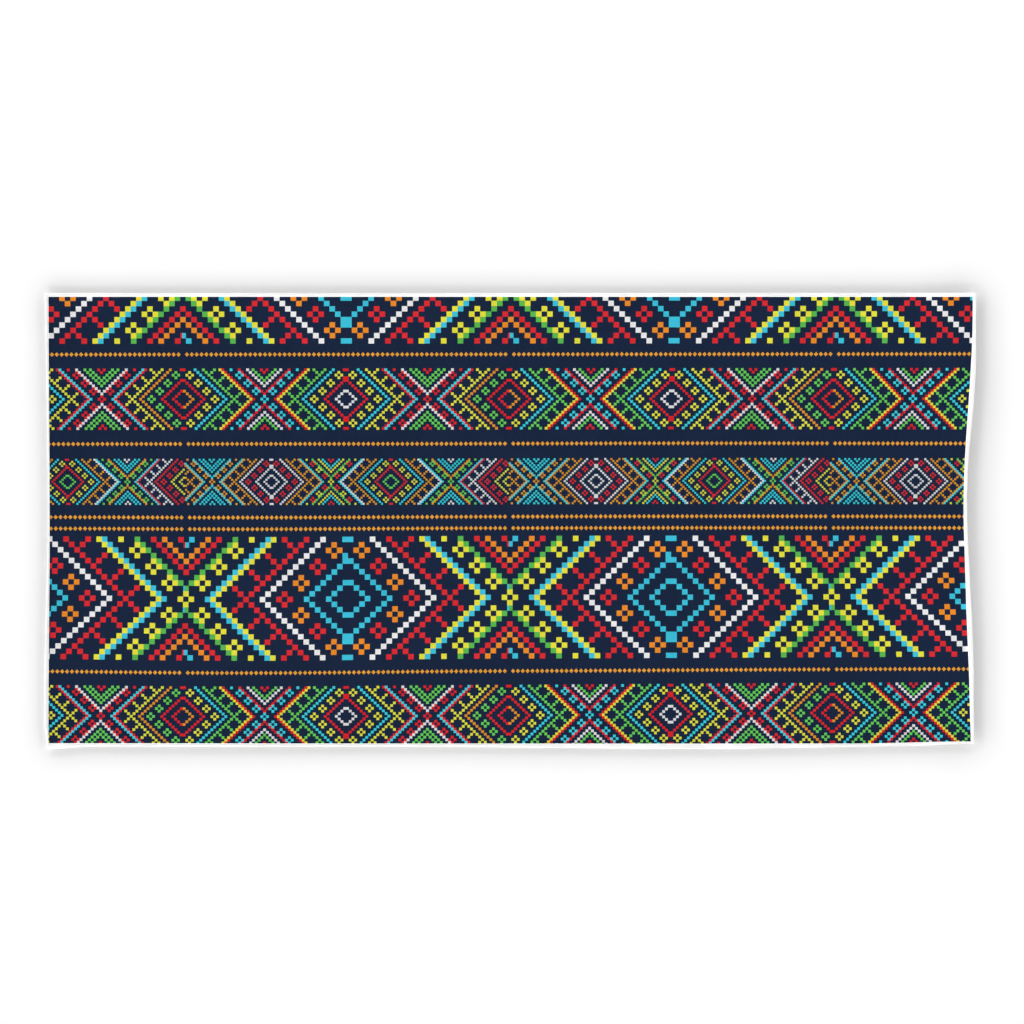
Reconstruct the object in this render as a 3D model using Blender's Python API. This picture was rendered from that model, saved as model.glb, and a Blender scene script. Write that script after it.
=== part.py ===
# A printed beach towel, opened out flat: one cut sheet of cloth with its four edges turned under as a hem.
# The towel lies on the XY plane: +X runs along it, +Y across it and +Z up from the surface it lies on.
# The origin is under the middle of the towel. Sizes are in metres.

import math

import bmesh
import bpy

LENGTH = 1.526  # over the hems, about the usual 60 inches
WIDTH = 0.747  # over the hems, a 30 inch cut less its hem and shrinkage
CLOTH = 0.0020  # thickness of the cloth
HEM = 0.0030  # thickness of the turned, pressed hem
HEM_WIDTH = 0.0062  # white border that the hem leaves around the print
HEM_EDGE = 0.0008  # the hem's outer edge is rounded over by this much
HEM_STEP = 0.0016  # the hem comes down to the cloth over this width

BORDER_REACH = 0.120  # the edges wave within this far of each side, so the grid is closer there
BORDER_PITCH = 0.018  # grid pitch within the border
MIDDLE_PITCH = 0.040  # grid pitch in the flat middle

# The sides aren't straight: each row draws one side in by depth at a place along it.
# below and above are how far the draw runs out towards the lower and the higher coordinate.
# (side, place, below, above, depth)
DRAWS = (
    ("right", 0.03, 0.30, 0.25, 0.015),
    ("right", -0.25, 0.50, 0.25, 0.004),
    ("left", 0.02, 0.32, 0.50, 0.006),
    ("left", -0.37, 0.01, 0.04, 0.005),
    ("bottom", -0.69, 0.07, 1.00, 0.004),
    ("bottom", -0.10, 0.40, 0.50, 0.002),
    ("bottom", 0.76, 0.50, 0.01, 0.006),
    ("bottom", 0.76, 0.10, 0.01, 0.003),
    ("top", -0.20, 1.20, 0.70, 0.001),
)

# The hem curls up a little all round: each row lifts one side in a low wave that runs out into the cloth.
# A reach ends on a grid line or just short of one, so the cloth inside it lies exactly flat on the surface.
# (side, place, half_length, height, reach)
WAVES = (
    ("right", -0.190, 0.380, 0.0046, 0.120),
    ("right", 0.190, 0.380, 0.0050, 0.120),
    ("left", -0.190, 0.380, 0.0023, 0.082),
    ("left", 0.190, 0.380, 0.0025, 0.082),
    ("top", -0.570, 0.380, 0.0023, 0.082),
    ("top", -0.190, 0.380, 0.0026, 0.082),
    ("top", 0.190, 0.380, 0.0023, 0.082),
    ("top", 0.570, 0.380, 0.0025, 0.082),
    ("bottom", -0.570, 0.380, 0.0025, 0.082),
    ("bottom", -0.190, 0.380, 0.0023, 0.082),
    ("bottom", 0.190, 0.380, 0.0025, 0.082),
    ("bottom", 0.570, 0.380, 0.0026, 0.082),
)

PRINT_BLUE = (0.012, 0.021, 0.051, 1.0)  # the ground colour of the printed face
PRINT_ROUGHNESS = 0.9


def clear_scene():
    for thing in list(bpy.data.objects):
        bpy.data.objects.remove(thing, do_unlink=True)


def hump(distance, reach):
    """A soft cosine hump, 1 at distance 0 and 0 from reach on."""
    share = min(1.0, abs(distance) / reach)
    return 0.5 + 0.5 * math.cos(math.pi * share)


def drawn_in(side, along):
    """How far a side stands in from its straight line at a place along it."""
    total = 0.0
    for name, place, below, above, depth in DRAWS:
        if name == side:
            total += depth * hump(along - place, above if along > place else below)
    return total


def lift(x, y):
    """How far the cloth's underside stands off the surface at a point of the straight-sided towel."""
    total = 0.0
    for side, place, half_length, height, reach in WAVES:
        inward = {
            "left": x + LENGTH / 2,
            "right": LENGTH / 2 - x,
            "bottom": y + WIDTH / 2,
            "top": WIDTH / 2 - y,
        }[side]
        along = y if side in ("left", "right") else x
        total += height * hump(along - place, half_length) * hump(inward, reach)
    return total


def grid_lines(extent):
    """Places of the grid lines along one direction, with the thickness of the cloth at each.

    They run over the rounded outer edge, the hem, the step down to the cloth, the border and the middle.
    """
    from_edge = [
        (0.0, HEM - 2 * HEM_EDGE),
        (HEM_EDGE, HEM),
        (HEM_WIDTH, HEM),
        (HEM_WIDTH + HEM_STEP, CLOTH),
    ]
    start = HEM_WIDTH + HEM_STEP
    steps = round((BORDER_REACH - start) / BORDER_PITCH)
    for i in range(1, steps + 1):
        from_edge.append((start + (BORDER_REACH - start) * i / steps, CLOTH))
    low = [(place - extent / 2, thick) for place, thick in from_edge]
    high = [(extent / 2 - place, thick) for place, thick in reversed(from_edge)]
    middle = extent - 2 * BORDER_REACH
    steps = round(middle / MIDDLE_PITCH)
    inner = [(-middle / 2 + middle * i / steps, CLOTH) for i in range(1, steps)]
    return low + inner + high


def thickness(across_x, across_y):
    """Of two thicknesses where grid lines cross, the edge's thinner one or else the hem's thicker one."""
    edge = HEM - 2 * HEM_EDGE
    if edge in (across_x, across_y):
        return edge
    return max(across_x, across_y)


def laid(x, y):
    """Where a point of the straight-sided towel lies once its sides are drawn in."""
    left = -LENGTH / 2 + drawn_in("left", y)
    right = LENGTH / 2 - drawn_in("right", y)
    bottom = -WIDTH / 2 + drawn_in("bottom", x)
    top = WIDTH / 2 - drawn_in("top", x)
    across = x / LENGTH + 0.5
    up = y / WIDTH + 0.5
    return left + across * (right - left), bottom + up * (top - bottom)


def add_towel():
    columns = grid_lines(LENGTH)
    rows = grid_lines(WIDTH)
    shape = bmesh.new()
    upper = []
    lower = []
    for y, thick_y in rows:
        upper_row = []
        lower_row = []
        for x, thick_x in columns:
            thick = thickness(thick_x, thick_y)
            base = lift(x, y)
            at_edge = abs(x) > LENGTH / 2 - HEM_EDGE / 2 or abs(y) > WIDTH / 2 - HEM_EDGE / 2
            if at_edge:
                base += HEM_EDGE
            place = laid(x, y)
            upper_row.append(shape.verts.new((*place, base + thick)))
            lower_row.append(shape.verts.new((*place, base)))
        upper.append(upper_row)
        lower.append(lower_row)

    for j in range(len(rows) - 1):
        for i in range(len(columns) - 1):
            shape.faces.new((upper[j][i], upper[j][i + 1], upper[j + 1][i + 1], upper[j + 1][i]))
            shape.faces.new((lower[j][i], lower[j + 1][i], lower[j + 1][i + 1], lower[j][i + 1]))
    join_edge(shape, [row[0] for row in reversed(upper)], [row[0] for row in reversed(lower)])
    join_edge(shape, [row[-1] for row in upper], [row[-1] for row in lower])
    join_edge(shape, upper[0], lower[0])
    join_edge(shape, list(reversed(upper[-1])), list(reversed(lower[-1])))
    bmesh.ops.recalc_face_normals(shape, faces=shape.faces)

    mesh = bpy.data.meshes.new("towel")
    shape.to_mesh(mesh)
    shape.free()
    mesh.shade_smooth()
    mesh.set_sharp_from_angle(angle=math.radians(30))
    towel = bpy.data.objects.new("towel", mesh)
    bpy.context.scene.collection.objects.link(towel)
    towel.data.materials.append(cloth_material())
    return towel


def join_edge(shape, upper, lower):
    """Closes the cloth's thickness along one side, between its upper and its lower line of points."""
    for i in range(len(upper) - 1):
        shape.faces.new((lower[i], lower[i + 1], upper[i + 1], upper[i]))


def cloth_material():
    material = bpy.data.materials.new("printed_cloth")
    material.use_nodes = True
    surface = material.node_tree.nodes["Principled BSDF"]
    surface.inputs["Base Color"].default_value = PRINT_BLUE
    surface.inputs["Roughness"].default_value = PRINT_ROUGHNESS
    surface.inputs["Metallic"].default_value = 0.0
    return material


clear_scene()
add_towel()
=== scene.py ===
import math
import random

import bpy
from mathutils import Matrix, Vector, noise


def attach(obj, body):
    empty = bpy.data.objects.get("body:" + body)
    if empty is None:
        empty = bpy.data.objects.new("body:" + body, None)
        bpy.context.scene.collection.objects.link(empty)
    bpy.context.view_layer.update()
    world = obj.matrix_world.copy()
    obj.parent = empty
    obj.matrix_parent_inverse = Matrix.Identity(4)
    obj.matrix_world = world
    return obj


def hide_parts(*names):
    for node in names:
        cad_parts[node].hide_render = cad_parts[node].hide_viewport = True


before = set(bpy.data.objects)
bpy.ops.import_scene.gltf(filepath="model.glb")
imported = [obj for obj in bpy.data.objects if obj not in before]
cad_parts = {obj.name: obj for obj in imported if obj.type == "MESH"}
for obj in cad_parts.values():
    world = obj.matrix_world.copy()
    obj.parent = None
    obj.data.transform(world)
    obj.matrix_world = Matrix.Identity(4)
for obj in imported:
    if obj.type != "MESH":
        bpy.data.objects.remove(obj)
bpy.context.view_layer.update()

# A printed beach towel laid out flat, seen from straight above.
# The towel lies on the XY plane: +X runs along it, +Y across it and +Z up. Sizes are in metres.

# The cloth, as in the CAD source
LENGTH = 1.526
WIDTH = 0.747
CLOTH = 0.0020
HEM = 0.0030
HEM_WIDTH = 0.0062
HEM_EDGE = 0.0008
BORDER_REACH = 0.120
BORDER_PITCH = 0.018
MIDDLE_PITCH = 0.040

# Each row draws one side in by depth; below and above are how far the draw runs out.
# (side, place, below, above, depth)
DRAWS = (
    ("right", 0.03, 0.30, 0.25, 0.015),
    ("right", -0.25, 0.50, 0.25, 0.004),
    ("left", 0.02, 0.32, 0.50, 0.006),
    ("left", -0.37, 0.01, 0.04, 0.005),
    ("bottom", -0.69, 0.07, 1.00, 0.004),
    ("bottom", -0.10, 0.40, 0.50, 0.002),
    ("bottom", 0.76, 0.50, 0.01, 0.006),
    ("bottom", 0.76, 0.10, 0.01, 0.003),
    ("top", -0.20, 1.20, 0.70, 0.001),
)

# Each row lifts one side in a low wave that runs out into the cloth.
# (side, place, half_length, height, reach)
WAVES = (
    ("right", -0.190, 0.380, 0.0046, 0.120),
    ("right", 0.190, 0.380, 0.0050, 0.120),
    ("left", -0.190, 0.380, 0.0023, 0.082),
    ("left", 0.190, 0.380, 0.0025, 0.082),
    ("top", -0.570, 0.380, 0.0023, 0.082),
    ("top", -0.190, 0.380, 0.0026, 0.082),
    ("top", 0.190, 0.380, 0.0023, 0.082),
    ("top", 0.570, 0.380, 0.0025, 0.082),
    ("bottom", -0.570, 0.380, 0.0025, 0.082),
    ("bottom", -0.190, 0.380, 0.0023, 0.082),
    ("bottom", 0.190, 0.380, 0.0025, 0.082),
    ("bottom", 0.570, 0.380, 0.0026, 0.082),
)

# How far the print ends inside the straight sides. What is left up to the drawn-in sides is white.
PRINT_INSET = {"left": 0.0068, "right": 0.0054, "bottom": 0.0089, "top": 0.0063}
# The print's edges are drawn in too, with columns as above.
PRINT_DRAWS = (
    ("right", 0.02, 0.30, 0.33, 0.015),
    ("right", -0.22, 0.28, 0.20, 0.006),
    ("left", 0.00, 0.32, 0.36, 0.002),
    ("bottom", 0.76, 0.20, 0.01, 0.0035),
    ("bottom", -0.76, 0.01, 0.60, 0.0005),
)

# The print repeats along the towel, with a seam between repeats near the middle.
REPEAT = 0.5337
REPEATS = (-2, -1, 0, 1)
SEAM = -0.0020

# The print isn't quite square to the cloth: each row shifts it softly round a place.
# (place_x, reach_x, place_y, reach_y, shift)
SHIFTS_ALONG = (
    (0.78, 0.70, 0.03, 0.30, -0.010),
    (0.78, 1.00, -0.30, 0.60, -0.0045),
    (0.78, 0.25, 0.25, 0.25, -0.0025),
    (-0.78, 0.60, -0.03, 0.28, 0.006),
    (-0.20, 0.30, -0.12, 0.20, 0.002),
    (0.20, 0.45, 0.36, 0.20, 0.003),
    (-0.45, 0.50, 0.36, 0.20, -0.002),
    (-0.70, 0.30, -0.36, 0.15, -0.002),
)
RISE = 0.0010
TURN = 0.0005
SHIFTS_ACROSS = (
    (0.78, 1.00, -0.36, 0.25, 0.0055),
    (0.78, 0.40, -0.15, 0.12, 0.0015),
    (-0.42, 0.40, -0.16, 0.26, -0.0035),
    (-0.78, 0.20, -0.34, 0.15, 0.0015),
    (0.30, 0.50, 0.07, 0.15, 0.001),
)

# What lies across the print from its bottom to its top: bands of small squares and rows of small lozenges
# (kind, middle)
LAYOUT = (
    ("middle", -0.3202),
    ("dots", -0.2473),
    ("wide", -0.1262),
    ("dots", -0.0129),
    ("dots", 0.0058),
    ("fine", 0.0635),
    ("dots", 0.1254),
    ("middle", 0.1988),
    ("dots", 0.2720),
    ("wide", 0.3903),
)
COLUMNS = {"wide": 59, "middle": 118, "fine": 160}  # in one repeat
ROW_PITCH = {"wide": 0.00875, "middle": 0.00437, "fine": 0.00327}
LAST_ROW = 11  # a band has this many rows above and below its middle row
DOTS = 66  # in one repeat
DOT_START = 0.0072  # the first dot's middle from the seam
DOT_PITCH = 0.00800
DOT_WIDTH = 0.0069
DOT_HEIGHT = 0.0074

SOLVE_STEPS = 6  # a line's end on the print's edge is closed in on in this many steps
SEAT = 0.0004  # a line of the print that comes this near the print's edge ends on it
NEAR_END = 0.030  # lines this near the bottom or the top side may run out there

# The chart of the print. Half a motif runs from the middle of a cross, column 0, to the middle of the diamond
# beside it, and is the same above and below. One letter gives the colour of each of its elements:
# N ground, R red, O orange, Y yellow, G green, C cyan, W white.
ELEMENTS = (
    "ring", "flower_odd", "flower_even", "arm", "chevron", "chevron_far", "peak", "tip", "tip_far",
    "lattice", "line", "bloom_even", "bloom_odd", "outer", "inner", "cap", "block_up", "block_down",
)
HALVES = {
    "wide_right": "Y Y Y G R O C C Y R W R O C C C C C",
    "wide_left": "Y Y Y G R O R C Y R W R O C C C N C",
    "wide_end": "Y Y Y C R O R C Y R W R O C C C C C",
    "a_right": "R R R W G G R C R Y O G G R R R N N",
    "a_left": "R R R W G G R C R Y C Y Y R W R R R",
    "b_right": "C C C R W G R R Y G C Y Y R W R R R",
    "b_left": "C C C R W G R R Y G C Y Y R O R N N",
    "c_right": "G G G O C C W C R W R R R Y Y N N N",
    "c_left": "G G G O C C W C W O C Y Y R G R N N",
    "d_right": "O O O C C C C C O O W R R W W W W W",
    "d_left": "O O O C C C C C O O N N N N N N N N",
    "e_right": "Y R Y G Y C R C W O C Y Y R G R R R",
    "e_left": "Y R Y G Y C R C O O W R R W W W W W",
}
# The halves along one repeat from its seam: half, first and last column
RUNS = {
    "wide": (("wide_right", 0, 29), ("wide_left", 29, 1), ("wide_end", 0, 0)),
    "middle": (("b_left", 29, 1), ("b_right", 0, 29), ("a_left", 29, 1), ("a_right", 0, 29)),
    "fine": (
        ("d_left", 13, 1), ("d_right", 0, 29), ("e_left", 29, 1),
        ("e_right", 0, 29), ("c_left", 29, 1), ("c_right", 0, 28),
    ),
}
FIRST_COLUMN = {"wide": -1 / 3, "middle": 0.0, "fine": 0.0}  # the wide band's seam cuts a column
STEP = 3  # flowers, blooms and the lattice repeat over this many columns and rows
FLOWERS = 5
BLOOMS = 4
BLOOMS_FROM = 18
LATTICE_FROM = 11
# The chart's diagonals: column less row, and the element
DIAGONALS = {
    -2: "arm", -5: "chevron", -7: "chevron_far", -10: "peak", 4: "tip", 5: "tip_far",
    LATTICE_FROM: "lattice", 14: "line", 22: "outer", 26: "inner",
}
DIAMOND_COLUMN = 29
BLOCK_ROW = 8
TABLE = {half: dict(zip(ELEMENTS, letters.split())) for half, letters in HALVES.items()}

# Colours on screen, red, green and blue out of 255: the ground, the rows of dots, the white hem,
# and the off-white of the plain back and the hem's turned edge. That off-white is partly painted shade: it is
# darker than the hem so that the turned edge and the underside send less light onto the floor beside the hem,
# and the floor's shadow there stays deep
COLOURS = {"N": (28, 40, 63), "D": (225, 156, 53), "H": (255, 255, 255), "U": (216, 215, 212)}
# and each kind of band, whose letters are as in the chart
BAND_COLOURS = {
    "wide": {
        "R": (212, 46, 51), "O": (230, 138, 44), "Y": (226, 221, 64),
        "G": (89, 180, 80), "C": (62, 189, 215), "W": (234, 233, 234),
    },
    "middle": {
        "R": (210, 38, 42), "O": (214, 140, 41), "Y": (216, 214, 64),
        "G": (103, 199, 85), "C": (60, 200, 216), "W": (217, 216, 219),
    },
    "fine": {
        "R": (199, 45, 47), "O": (203, 142, 36), "Y": (200, 201, 62),
        "G": (97, 188, 84), "C": (56, 194, 209), "W": (206, 208, 210),
    },
}
TINTS = (0.975, 1.025)


def hump(distance, reach):
    """A soft cosine hump, 1 at distance 0 and 0 from reach on."""
    share = min(1.0, abs(distance) / reach)
    return 0.5 + 0.5 * math.cos(math.pi * share)


def drawn_in(side, along, table=DRAWS):
    total = 0.0
    for name, place, below, above, depth in table:
        if name == side:
            total += depth * hump(along - place, above if along > place else below)
    return total


def sides_at(x, y):
    """The four drawn-in sides beside a place: left, right, bottom and top."""
    return (
        -LENGTH / 2 + drawn_in("left", y),
        LENGTH / 2 - drawn_in("right", y),
        -WIDTH / 2 + drawn_in("bottom", x),
        WIDTH / 2 - drawn_in("top", x),
    )


def laid(x, y):
    """Where a point of the straight-sided towel lies once its sides are drawn in."""
    left, right, bottom, top = sides_at(x, y)
    return left + (x / LENGTH + 0.5) * (right - left), bottom + (y / WIDTH + 0.5) * (top - bottom)


def lift(x, y):
    """How far the underside stands off the surface at a place of the laid towel."""
    left, right, bottom, top = sides_at(x, y)
    x = LENGTH * ((x - left) / (right - left) - 0.5)
    y = WIDTH * ((y - bottom) / (top - bottom) - 0.5)
    total = 0.0
    for side, place, half_length, height, reach in WAVES:
        inward = {
            "left": x + LENGTH / 2,
            "right": LENGTH / 2 - x,
            "bottom": y + WIDTH / 2,
            "top": WIDTH / 2 - y,
        }[side]
        along = y if side in ("left", "right") else x
        total += height * hump(along - place, half_length) * hump(inward, reach)
    return total


def print_edge(side, along):
    """Where the print ends beside the white border."""
    inset = PRINT_INSET[side] + drawn_in(side, along, PRINT_DRAWS)
    return {
        "left": inset - LENGTH / 2,
        "right": LENGTH / 2 - inset,
        "bottom": inset - WIDTH / 2,
        "top": WIDTH / 2 - inset,
    }[side]


def printed(s, t):
    """Where a point of the square, even print lies on the laid towel."""
    x = s + SEAM
    y = t + RISE + TURN * s / (LENGTH / 2)
    for place_x, reach_x, place_y, reach_y, shift in SHIFTS_ALONG:
        x += shift * hump(s - place_x, reach_x) * hump(t - place_y, reach_y)
    for place_x, reach_x, place_y, reach_y, shift in SHIFTS_ACROSS:
        y += shift * hump(s - place_x, reach_x) * hump(t - place_y, reach_y)
    return x, y


def side_crossing(side, t):
    """s where the print's line at height t meets the left or right edge of the print."""
    s = print_edge(side, t)
    for _ in range(SOLVE_STEPS):
        x, y = printed(s, t)
        s += print_edge(side, y) - x
    return s


def end_crossing(end, s):
    """t where the print's line at s meets the bottom or top edge of the print."""
    t = print_edge(end, s)
    for _ in range(SOLVE_STEPS):
        x, y = printed(s, t)
        t += print_edge(end, x) - y
    return t


def corner(side, end):
    """s and t of a corner of the print."""
    s = print_edge(side, 0.0)
    t = print_edge(end, s)
    for _ in range(2 * SOLVE_STEPS):
        x, y = printed(s, t)
        s += print_edge(side, y) - x
        t += print_edge(end, x) - y
    return s, t


def element(column, row):
    """The chart's element in a cell, or None for plain ground. Rows count upwards from the middle row."""
    away = abs(row)
    for k in range(FLOWERS):
        if abs(column - STEP * k) + abs(away - STEP * k) == 1:
            return "ring" if k == 0 else ("flower_odd" if k % 2 else "flower_even")
    for k in range(BLOOMS):
        if abs(column - BLOOMS_FROM - STEP * k) + abs(away - STEP * k) == 1:
            return "bloom_odd" if k % 2 else "bloom_even"
        on_branch = column + away == LATTICE_FROM + 2 * STEP * k
        if on_branch and 0 < away - STEP * k < STEP:
            return "lattice"
    if column == DIAMOND_COLUMN and away == BLOCK_ROW:
        return "block_up" if row > 0 else "block_down"
    if column == DIAMOND_COLUMN and away == LAST_ROW:
        return "cap"
    return DIAGONALS.get(column - away)


def chart_columns(kind):
    """(place of its left side, half, column) of each column of the print, from left to right."""
    pitch = REPEAT / COLUMNS[kind]
    found = []
    for half, first, last in RUNS[kind]:
        step = 1 if last >= first else -1
        found += [(half, column) for column in range(first, last + step, step)]
    columns = []
    for repeat in REPEATS:
        for i, (half, column) in enumerate(found):
            start = max(0.0, i + FIRST_COLUMN[kind]) * pitch
            columns.append((repeat * REPEAT + start, half, column))
    return columns


class Cloth:
    """Points and faces of the towel. A face knows its colour and which side of the cloth it is on."""

    def __init__(self):
        self.points = []
        self.flat = []  # where the point lies when the cloth is spread out, for the UV map
        self.faces = []
        self.colours = []
        self.under = []

    def point(self, x, y, z, flat=None):
        self.points.append((x, y, z))
        self.flat.append(flat or (x, y))
        return len(self.points) - 1

    def face(self, corners, colour, under=False):
        """Adds a face, unless it has shrunk to a line."""
        kept = list(dict.fromkeys(corners))
        if len(kept) > 2:
            self.faces.append(kept)
            self.colours.append(colour)
            self.under.append(under)

    def zip_up(self, lower, upper, colour, under=False):
        """Fills between two rows of (place, point) of unlike counts, both in rising order of place."""
        i = 0
        j = 0
        while i < len(lower) - 1 or j < len(upper) - 1:
            along_lower = j == len(upper) - 1
            if not along_lower and i < len(lower) - 1:
                along_lower = lower[i + 1][0] < upper[j + 1][0]
            if along_lower:
                self.face((lower[i][1], lower[i + 1][1], upper[j][1]), colour, under)
                i += 1
            else:
                self.face((lower[i][1], upper[j + 1][1], upper[j][1]), colour, under)
                j += 1


class Print:
    """The printed face of the cloth, clipped by the four edges of the print."""

    def __init__(self, cloth):
        self.cloth = cloth
        self.corners = {}
        for side in ("left", "right"):
            for end in ("bottom", "top"):
                s, t = corner(side, end)
                self.corners[side, end] = (s, self.on_face(s, t))
        self.sides = {"left": [], "right": []}
        self.ends = {"bottom": {}, "top": {}}
        self.last_line = None

    def on_face(self, s, t):
        x, y = printed(s, t)
        return self.cloth.point(x, y, lift(x, y) + CLOTH)

    def beyond(self, s, t):
        """The end of the print, bottom or top, that the point lies beyond."""
        for end, sign in (("bottom", -1), ("top", 1)):
            if sign * t > WIDTH / 2 - NEAR_END and sign * (t - end_crossing(end, s)) > -SEAT:
                return end
        return None

    def edge_point(self, side, t):
        s = side_crossing(side, t)
        end = self.beyond(s, t)
        if end:
            return self.corners[side, end]
        self.sides[side].append(self.on_face(s, t))
        return s, self.sides[side][-1]

    def mark_point(self, s, t):
        end = self.beyond(s, t)
        if not end:
            return self.on_face(s, t)
        if s not in self.ends[end]:
            self.ends[end][s] = self.on_face(s, end_crossing(end, s))
        return self.ends[end][s]

    def line(self, t, marks):
        """A line over the print at height t: a point for each mark, and (place, point) from edge to edge."""
        first, left = self.edge_point("left", t)
        last, right = self.edge_point("right", t)
        points = []
        whole = [(first, left)]
        for s in marks:
            if s <= first + SEAT:
                points.append(left)
            elif s >= last - SEAT:
                points.append(right)
            else:
                points.append(self.mark_point(s, t))
                whole.append((s, points[-1]))
        whole.append((last, right))
        return points, whole

    def fill_to(self, whole):
        """Fills plain ground up to the line from the last line of what lies below it."""
        if self.last_line is not None:
            self.cloth.zip_up(self.last_line, whole, "N")

    def add_band(self, kind, middle):
        columns = chart_columns(kind)
        marks = [start for start, half, column in columns]
        pitch = ROW_PITCH[kind]
        rows = list(range(-LAST_ROW, LAST_ROW + 1))
        if self.last_line is None:  # the lowest band starts where the print does
            lowest = min(end_crossing("bottom", s) for s, half, column in columns if abs(s) < LENGTH / 2)
            rows = [row for row in rows if middle + (row + 0.5) * pitch > lowest]
        elif middle + LAST_ROW * pitch > WIDTH / 2:
            highest = max(end_crossing("top", s) for s, half, column in columns if abs(s) < LENGTH / 2)
            rows = [row for row in rows if middle + (row - 0.5) * pitch < highest]
        low, whole = self.line(middle + (rows[0] - 0.5) * pitch, marks)
        self.fill_to(whole)
        for row in rows:
            high, whole = self.line(middle + (row + 0.5) * pitch, marks)
            for i in range(len(columns) - 1):
                start, half, column = columns[i]
                name = element(column, row)
                letter = TABLE[half][name] if name else "N"
                colour = "N" if letter == "N" else f"{kind}_{letter}"
                self.cloth.face((low[i], low[i + 1], high[i + 1], high[i]), colour)
            low = high
        self.last_line = whole

    def add_dots(self, middle):
        places = [repeat * REPEAT + DOT_START + i * DOT_PITCH for repeat in REPEATS for i in range(DOTS)]
        tips = [s + side * DOT_WIDTH / 2 for s in places for side in (-1, 1)]
        low, whole = self.line(middle - DOT_HEIGHT / 2, places)
        self.fill_to(whole)
        across, _ = self.line(middle, tips)
        high, whole = self.line(middle + DOT_HEIGHT / 2, places)
        for i in range(len(places)):
            left, right = across[2 * i], across[2 * i + 1]
            if left != right:
                self.cloth.face((left, low[i], right, high[i]), "D")
            if i + 1 < len(places):
                following = across[2 * i + 2]
                self.cloth.face((low[i], low[i + 1], following, right), "N")
                self.cloth.face((right, following, high[i + 1], high[i]), "N")
        self.last_line = whole

    def outline(self):
        """(place round the towel, point) of every point of the print's edge. The place runs from 0 at the
        bottom left corner through 1, 2 and 3 at the next corners, anticlockwise."""
        bottom = [self.ends["bottom"][s] for s in sorted(self.ends["bottom"])]
        top = [self.ends["top"][s] for s in sorted(self.ends["top"], reverse=True)]
        turns = [("left", "bottom"), ("right", "bottom"), ("right", "top"), ("left", "top")]
        rows = [bottom, self.sides["right"], top, list(reversed(self.sides["left"]))]
        found = []
        for i, points in enumerate(rows):
            start = self.corners[turns[i]][1]
            goal = self.corners[turns[(i + 1) % len(turns)]][1]
            axis = i % 2
            a = self.cloth.points[start][axis]
            b = self.cloth.points[goal][axis]
            found.append((float(i), start))
            found += [(i + (self.cloth.points[point][axis] - a) / (b - a), point) for point in points]
        return found


def round_the_towel(place):
    """The straight towel's point at a place round it, 0 to 4 from its bottom left corner."""
    side = int(place) % 4
    share = place - int(place)
    half_x = LENGTH / 2
    half_y = WIDTH / 2
    along_x = -half_x + 2 * half_x * share
    along_y = -half_y + 2 * half_y * share
    return [(along_x, -half_y), (half_x, along_y), (-along_x, half_y), (-half_x, -along_y)][side]


HOLLOW = 0.0026  # height of the hem's face in its hollows, beside the print and under the stitches
STITCH_SHARE = 0.26  # the stitches run this share of the way from the print to the outer edge
# The hem's face from the print outwards: share of the way to the outer edge, and height over the underside
HEM_FACE = ((0.07, HOLLOW), (0.15, HEM), (STITCH_SHARE, HOLLOW), (0.36, HEM), (0.68, HEM))
PUCKER = 0.00012  # the hem rises and falls by this much along the stitches
PUCKER_SHARE = 0.5  # the puckers fade out over this share of the hem, towards its outer edge
PUCKER_SEED = 4
TURN_ANGLES = (0, 30, 60, 90)  # degrees, round each half of the hem's outer edge


def hem_profile(width):
    """(distance from the outer edge, height, on the underside) of each row of points round the hem."""
    rows = [((1 - share) * width, height, False) for share, height in HEM_FACE]
    for degrees in TURN_ANGLES:
        a = math.radians(degrees)
        rows.append((HEM_EDGE * (1 - math.sin(a)), HEM - HEM_EDGE * (1 - math.cos(a)), False))
    for degrees in TURN_ANGLES:
        a = math.radians(degrees)
        rows.append((HEM_EDGE * (1 - math.cos(a)), HEM_EDGE * (1 - math.sin(a)), degrees > 0))
    rows.append((HEM_WIDTH, 0.0, True))
    return rows


def add_hem(cloth, outline):
    """Closes the cloth from the print's edge over the hem to its underside. Returns the hem's last row on the
    underside and the line that the stitches follow."""
    chance = random.Random(PUCKER_SEED)
    spokes = []
    for place, point in outline:
        inner = Vector(cloth.points[point][:2])
        outer = Vector(laid(*round_the_towel(place)))
        spokes.append((inner, outer, chance.uniform(-PUCKER, PUCKER)))
    seam = [inner.lerp(outer, STITCH_SHARE) for inner, outer, pucker in spokes]
    previous = [point for place, point in outline]
    count = len(previous)
    rows = len(hem_profile(1.0))
    for row in range(rows):
        current = []
        colour = "H"
        for inner, outer, pucker in spokes:
            width = (outer - inner).length
            inward = (inner - outer).normalized()
            distance, height, under = hem_profile(width)[row]
            # the hem's turned edge and the underside take the darker off-white, which is partly painted shade
            if under or distance == 0:
                colour = "U"
            place = outer + inward * distance
            if HEM <= height + HEM_EDGE and not under:
                height += pucker * min(1.0, distance / (PUCKER_SHARE * width))
            spread = outer - inward * (HEM - height) if distance < HEM_EDGE and not under else place
            current.append(cloth.point(*place, lift(*place) + height, tuple(spread)))
        for i in range(count):
            j = (i + 1) % count
            cloth.face((previous[i], current[i], current[j], previous[j]), colour, under)
        previous = current
    return previous, seam


def grid_places(extent):
    """Grid lines of the underside inside the hem: close near the sides and wide in the flat middle."""
    start = BORDER_PITCH
    steps = round((BORDER_REACH - start) / BORDER_PITCH)
    border = [start + (BORDER_REACH - start) * i / steps for i in range(steps + 1)]
    middle = extent - 2 * BORDER_REACH
    steps = round(middle / MIDDLE_PITCH)
    inner = [-middle / 2 + middle * i / steps for i in range(1, steps)]
    return [p - extent / 2 for p in border] + inner + [extent / 2 - p for p in reversed(border)]


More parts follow.
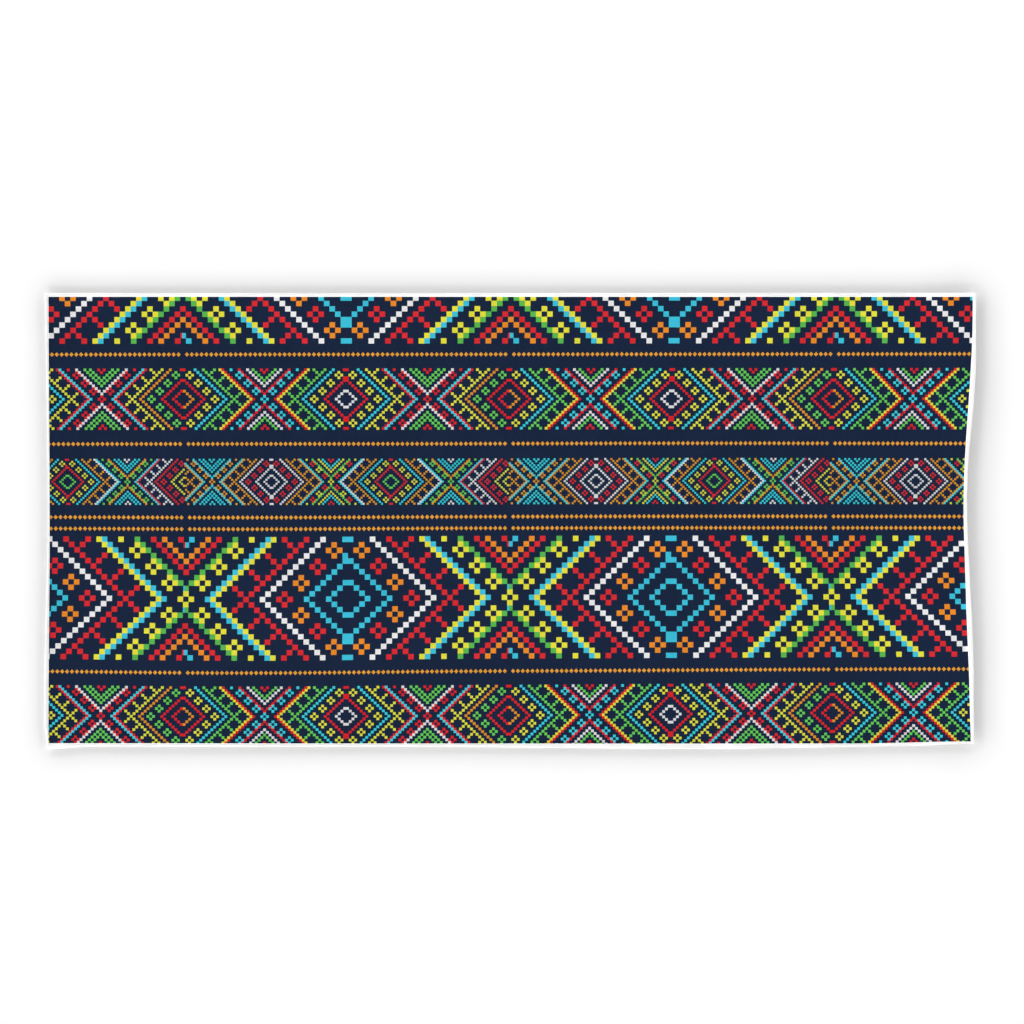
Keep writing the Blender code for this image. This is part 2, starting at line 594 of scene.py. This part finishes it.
def add_underside(cloth, outline, hem_row):
    columns = grid_places(LENGTH)
    rows = grid_places(WIDTH)
    grid = []
    for y in rows:
        line = []
        for x in columns:
            place = laid(x, y)
            line.append(cloth.point(*place, lift(*place)))
        grid.append(line)
    for j in range(len(rows) - 1):
        for i in range(len(columns) - 1):
            corners = (grid[j][i], grid[j + 1][i], grid[j + 1][i + 1], grid[j][i + 1])
            # the underside takes the darker off-white, which is partly painted shade
            cloth.face(corners, "U", True)
    across = [(x - columns[0]) / (columns[-1] - columns[0]) for x in columns]
    up = [(y - rows[0]) / (rows[-1] - rows[0]) for y in rows]
    loop = [(share, grid[0][i]) for i, share in enumerate(across)][:-1]
    loop += [(1 + share, grid[j][-1]) for j, share in enumerate(up)][:-1]
    loop += [(3 - share, grid[-1][i]) for i, share in reversed(list(enumerate(across)))][:-1]
    loop += [(4 - share, grid[j][0]) for j, share in reversed(list(enumerate(up)))]
    hem_loop = [(place, point) for (place, start), point in zip(outline, hem_row)] + [(4.0, hem_row[0])]
    cloth.zip_up(loop, hem_loop, "U", True)


def add_towel():
    cloth = Cloth()
    face = Print(cloth)
    for kind, middle in LAYOUT:
        if kind == "dots":
            face.add_dots(middle)
        else:
            face.add_band(kind, middle)
    outline = face.outline()
    hem_row, seam = add_hem(cloth, outline)
    add_underside(cloth, outline, hem_row)

    mesh = bpy.data.meshes.new("beach_towel")
    mesh.from_pydata(cloth.points, [], cloth.faces)
    mesh.shade_smooth()
    towel = bpy.data.objects.new("beach_towel", mesh)
    bpy.context.scene.collection.objects.link(towel)

    add_colours(mesh, cloth)
    add_map(mesh, cloth)
    mesh.validate()
    mesh.update()
    return towel, seam


# Each colour comes in two tints, spread over the cloth in soft clouds, this many to the metre.
CLOUDS = 14.0


def add_colours(mesh, cloth):
    """A material for each tint of each colour, and to each face its own."""
    colours = dict(COLOURS)
    for kind, letters in BAND_COLOURS.items():
        colours.update({f"{kind}_{letter}": colour for letter, colour in letters.items()})
    first_slot = {}
    for name, colour in colours.items():
        first_slot[name] = len(mesh.materials)
        for i, tint in enumerate(TINTS):
            mesh.materials.append(cloth_material(f"towel_{name}_{i}", colour, tint))
    slots = []
    for polygon, name in zip(mesh.polygons, cloth.colours):
        lighter = noise.noise(polygon.center * CLOUDS) > 0
        slots.append(first_slot[name] + lighter)
    mesh.polygons.foreach_set("material_index", slots)


UV_MARGIN = 0.008
UV_UNDER = 0.5  # the underside lies this far above the face in the UV map


def add_map(mesh, cloth):
    """The UV map: the cloth spread out, its face below and its underside above."""
    layer = mesh.uv_layers.new(name="OFBake")
    size = LENGTH + 2 * UV_MARGIN
    uvs = []
    for polygon, under in zip(mesh.polygons, cloth.under):
        for vertex in polygon.vertices:
            x, y = cloth.points[vertex][:2] if under else cloth.flat[vertex]
            u = (x + LENGTH / 2 + UV_MARGIN) / size
            v = (y + WIDTH / 2 + UV_MARGIN) / size + (UV_UNDER if under else 0.0)
            uvs += [u, v]
    layer.data.foreach_set("uv", uvs)


FLOOR_WHITE = 0.90  # share of the light that the floor gives back, which is white on screen
VEIL = 0.0070  # taken off every dye, so that the dark ground is as dark as in the photo
DARKEST = 0.002  # no dye goes below this, with the floor's white as 1


def linear(channel):
    """The share of light, 0 to 1, that a value from 0 to 255 on screen stands for."""
    c = channel / 255
    return c / 12.92 if c <= 0.04045 else ((c + 0.055) / 1.055) ** 2.4


def add_node(tree, kind, **settings):
    node = tree.nodes.new(kind)
    for name, value in settings.items():
        if name in node.inputs:
            node.inputs[name].default_value = value
        else:
            setattr(node, name, value)
    return node


PILE_SIZE = 0.0013  # one loop of the pile
ROW_SIZE = 0.0018  # one row of loops
LAY_SIZE = 0.022  # patches where the pile lies one way
LOOP_SHARE = -0.8  # weight of the loops against their rows, negative since a loop is highest in its middle
PILE_HEIGHT = 0.0004
LAY_HEIGHT = 0.0010
CLOTH_GLOSS = 0.08
CLOTH_SHEEN = 0.04
CLOTH_ROUGHNESS = (0.80, 0.98)  # from patch to patch


def wave_scale(size):
    """The scale that sets a wave texture's bands this far apart. Diagonal ones come out somewhat wider."""
    return math.pi / (10 * size)


def add_roughness(tree, shader, source, lowest, highest):
    """Roughness that follows the source."""
    rough = add_node(tree, "ShaderNodeMapRange")
    rough.inputs["To Min"].default_value = lowest
    rough.inputs["To Max"].default_value = highest
    tree.links.new(source, rough.inputs["Value"])
    tree.links.new(rough.outputs["Result"], shader.inputs["Roughness"])


def cloth_material(name, colour, tint):
    """Short dense pile: loops, the rows they stand in, and patches where the pile lies over."""
    material = bpy.data.materials.new(name)
    material.use_nodes = True
    tree = material.node_tree
    shader = tree.nodes["Principled BSDF"]
    dyed = [max(DARKEST, tint * linear(c) - VEIL) * FLOOR_WHITE for c in colour]
    shader.inputs["Base Color"].default_value = (*dyed, 1.0)
    shader.inputs["Specular IOR Level"].default_value = CLOTH_GLOSS
    shader.inputs["Sheen Weight"].default_value = CLOTH_SHEEN
    shader.inputs["Sheen Roughness"].default_value = 0.5

    place = add_node(tree, "ShaderNodeTexCoord").outputs["Object"]
    loops = add_node(tree, "ShaderNodeTexVoronoi", feature="F1", Scale=1 / PILE_SIZE, Randomness=0.7)
    tree.links.new(place, loops.inputs["Vector"])
    rows = add_node(tree, "ShaderNodeTexWave", bands_direction="Y", Scale=wave_scale(ROW_SIZE))
    rows.inputs["Distortion"].default_value = 1.5
    rows.inputs["Detail"].default_value = 2.0
    tree.links.new(place, rows.inputs["Vector"])
    lay = add_node(tree, "ShaderNodeTexNoise", Scale=1 / LAY_SIZE, Detail=4.0, Roughness=0.55)
    tree.links.new(place, lay.inputs["Vector"])

    pile = add_node(tree, "ShaderNodeMath", operation="MULTIPLY_ADD")
    tree.links.new(loops.outputs["Distance"], pile.inputs[0])
    pile.inputs[1].default_value = LOOP_SHARE
    tree.links.new(rows.outputs["Fac"], pile.inputs[2])
    fine = add_node(tree, "ShaderNodeBump", Strength=0.5, Distance=PILE_HEIGHT)
    tree.links.new(pile.outputs["Value"], fine.inputs["Height"])
    broad = add_node(tree, "ShaderNodeBump", Strength=0.35, Distance=LAY_HEIGHT)
    tree.links.new(lay.outputs["Fac"], broad.inputs["Height"])
    tree.links.new(fine.outputs["Normal"], broad.inputs["Normal"])
    tree.links.new(broad.outputs["Normal"], shader.inputs["Normal"])
    add_roughness(tree, shader, lay.outputs["Fac"], *CLOTH_ROUGHNESS)
    return material


# Hem stitches
STITCH_PITCH = 0.0036
STITCH_LENGTH = 0.0030
THREAD = 0.00042  # diameter
THREAD_SIDES = 6
THREAD_RISE = 0.35  # the thread's middle stands over the hollow by this share of its diameter
STITCH_SLANT = 0.06  # a stitch may slant by up to this much of its length
STITCH_SEED = 11
SHORTEST = 1e-6  # stretches of the seam shorter than this have no direction and are passed over
# Along a stitch: share of its length, share of the thread's radius, share of the radius that it is sunk by
STITCH_RINGS = (
    (0.00, 0.25, 1.6), (0.10, 0.75, 0.8), (0.30, 1.0, 0.1), (0.50, 1.0, 0.0),
    (0.70, 1.0, 0.1), (0.90, 0.75, 0.8), (1.00, 0.25, 1.6),
)


def add_stitch(points, faces, middle, direction, side):
    """A short length of thread that dips in at its ends."""
    first = len(points)
    for share, girth, sunk in STITCH_RINGS:
        centre = middle + direction * STITCH_LENGTH * (share - 0.5)
        z = lift(*centre) + HOLLOW + THREAD * THREAD_RISE - sunk * THREAD / 2
        for k in range(THREAD_SIDES):
            a = 2 * math.pi * k / THREAD_SIDES
            offset = side * math.cos(a) * girth * THREAD / 2
            rise = math.sin(a) * girth * THREAD / 2
            points.append((centre.x + offset.x, centre.y + offset.y, z + rise))
    last = first + (len(STITCH_RINGS) - 1) * THREAD_SIDES
    for ring in range(first, last, THREAD_SIDES):
        for k in range(THREAD_SIDES):
            a = ring + k
            b = ring + (k + 1) % THREAD_SIDES
            faces.append((a, b, b + THREAD_SIDES, a + THREAD_SIDES))
    faces.append([first + k for k in reversed(range(THREAD_SIDES))])
    faces.append([last + k for k in range(THREAD_SIDES)])


def add_stitches(seam):
    """One row of lockstitch round the hem."""
    chance = random.Random(STITCH_SEED)
    points = []
    faces = []
    path = seam + [seam[0]]
    carried = 0.0
    for start, goal in zip(path, path[1:]):
        step = goal - start
        length = step.length
        if length < SHORTEST:
            continue
        along = step / length
        side = Vector((-along.y, along.x))
        while carried < length:
            slant = side * chance.uniform(-STITCH_SLANT, STITCH_SLANT)
            add_stitch(points, faces, start + along * carried, along + slant, side)
            carried += STITCH_PITCH
        carried -= length
    mesh = bpy.data.meshes.new("hem_stitches")
    mesh.from_pydata(points, [], faces)
    mesh.shade_smooth()
    stitches = bpy.data.objects.new("hem_stitches", mesh)
    bpy.context.scene.collection.objects.link(stitches)
    mesh.materials.append(thread_material())
    return stitches


THREAD_COLOUR = (0.80, 0.80, 0.79, 1.0)
THREAD_GLOSS = 0.25
THREAD_ROUGHNESS = (0.45, 0.70)
TWIST_HEIGHT = 0.0001


def thread_material():
    material = bpy.data.materials.new("thread")
    material.use_nodes = True
    tree = material.node_tree
    shader = tree.nodes["Principled BSDF"]
    shader.inputs["Base Color"].default_value = THREAD_COLOUR
    shader.inputs["Specular IOR Level"].default_value = THREAD_GLOSS
    place = add_node(tree, "ShaderNodeTexCoord").outputs["Object"]
    twist = add_node(tree, "ShaderNodeTexWave", bands_direction="DIAGONAL", Scale=wave_scale(THREAD))
    twist.inputs["Distortion"].default_value = 0.6
    tree.links.new(place, twist.inputs["Vector"])
    bump = add_node(tree, "ShaderNodeBump", Strength=0.5, Distance=TWIST_HEIGHT)
    tree.links.new(twist.outputs["Fac"], bump.inputs["Height"])
    tree.links.new(bump.outputs["Normal"], shader.inputs["Normal"])
    add_roughness(tree, shader, twist.outputs["Fac"], *THREAD_ROUGHNESS)
    return material


FLOOR_HALF = 12.0  # half of the floor's width
FLOOR_GAP = 0.0002  # the floor lies this far below the towel


def add_floor():
    mesh = bpy.data.meshes.new("floor")
    corners = [(-1, -1), (1, -1), (1, 1), (-1, 1)]
    mesh.from_pydata([(x * FLOOR_HALF, y * FLOOR_HALF, -FLOOR_GAP) for x, y in corners], [], [(0, 1, 2, 3)])
    floor = bpy.data.objects.new("floor", mesh)
    bpy.context.scene.collection.objects.link(floor)
    material = bpy.data.materials.new("floor")
    material.use_nodes = True
    shader = material.node_tree.nodes["Principled BSDF"]
    shader.inputs["Base Color"].default_value = (FLOOR_WHITE, FLOOR_WHITE, FLOOR_WHITE, 1.0)
    shader.inputs["Roughness"].default_value = 1.0
    shader.inputs["Specular IOR Level"].default_value = 0.0
    mesh.materials.append(material)


# Soft white light from two rings round the towel and a dim dome. Each ring lies between sines of elevation.
# (rise_from, rise_to, fall_from, fall_to, strength)
RINGS = (
    (0.10, 0.12, 0.16, 0.18, 20.0),
    (0.16, 0.18, 0.38, 0.46, 4.4),
)
DOME_LIGHT = 0.13
# The rings are brighter on the left and at the bottom.
TOWARDS_X = -0.3
TOWARDS_Y = -0.1


def ramp(tree, source, start, end, low, high):
    """A soft step of the source from low at start to high at end."""
    node = add_node(tree, "ShaderNodeMapRange", interpolation_type="SMOOTHSTEP")
    node.inputs["From Min"].default_value = start
    node.inputs["From Max"].default_value = end
    node.inputs["To Min"].default_value = low
    node.inputs["To Max"].default_value = high
    tree.links.new(source, node.inputs["Value"])
    return node.outputs["Result"]


def multiply_add(tree, a, b, c):
    """a times b plus c, each an output or a number."""
    node = add_node(tree, "ShaderNodeMath", operation="MULTIPLY_ADD")
    for socket, value in zip(node.inputs, (a, b, c)):
        if isinstance(value, float):
            socket.default_value = value
        else:
            tree.links.new(value, socket)
    return node.outputs["Value"]


def add_light():
    world = bpy.data.worlds.new("studio")
    bpy.context.scene.world = world
    world.use_nodes = True
    tree = world.node_tree
    background = tree.nodes["Background"]
    direction = add_node(tree, "ShaderNodeTexCoord").outputs["Generated"]
    parts = add_node(tree, "ShaderNodeSeparateXYZ")
    tree.links.new(direction, parts.inputs["Vector"])
    rise = parts.outputs["Z"]
    total = 0.0
    for rise_from, rise_to, fall_from, fall_to, strength in RINGS:
        grow = ramp(tree, rise, rise_from, rise_to, 0.0, strength)
        fade = ramp(tree, rise, fall_from, fall_to, 1.0, 0.0)
        total = multiply_add(tree, grow, fade, total)
    lean = multiply_add(tree, parts.outputs["X"], TOWARDS_X, 1.0)
    lean = multiply_add(tree, parts.outputs["Y"], TOWARDS_Y, lean)
    background.inputs["Color"].default_value = (1.0, 1.0, 1.0, 1.0)
    tree.links.new(multiply_add(tree, total, lean, DOME_LIGHT), background.inputs["Strength"])


# The picture is 1.6776 m wide at the cloth, and its middle is a little up and right of the towel's.
PICTURE = 1.6776
PICTURE_MIDDLE = (0.0030, 0.0146)
LENS = 200.0
SENSOR = 36.0


def add_camera():
    data = bpy.data.cameras.new("camera")
    data.lens = LENS
    data.sensor_width = SENSOR
    data.clip_end = 100.0
    camera = bpy.data.objects.new("camera", data)
    camera.location = (*PICTURE_MIDDLE, PICTURE * LENS / SENSOR + CLOTH)
    bpy.context.scene.collection.objects.link(camera)
    bpy.context.scene.camera = camera


towel, seam = add_towel()
stitches = add_stitches(seam)
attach(towel, "root")
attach(stitches, "root")
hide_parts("towel")
add_floor()
add_light()
add_camera()
bpy.context.scene.view_settings.view_transform = "Standard"
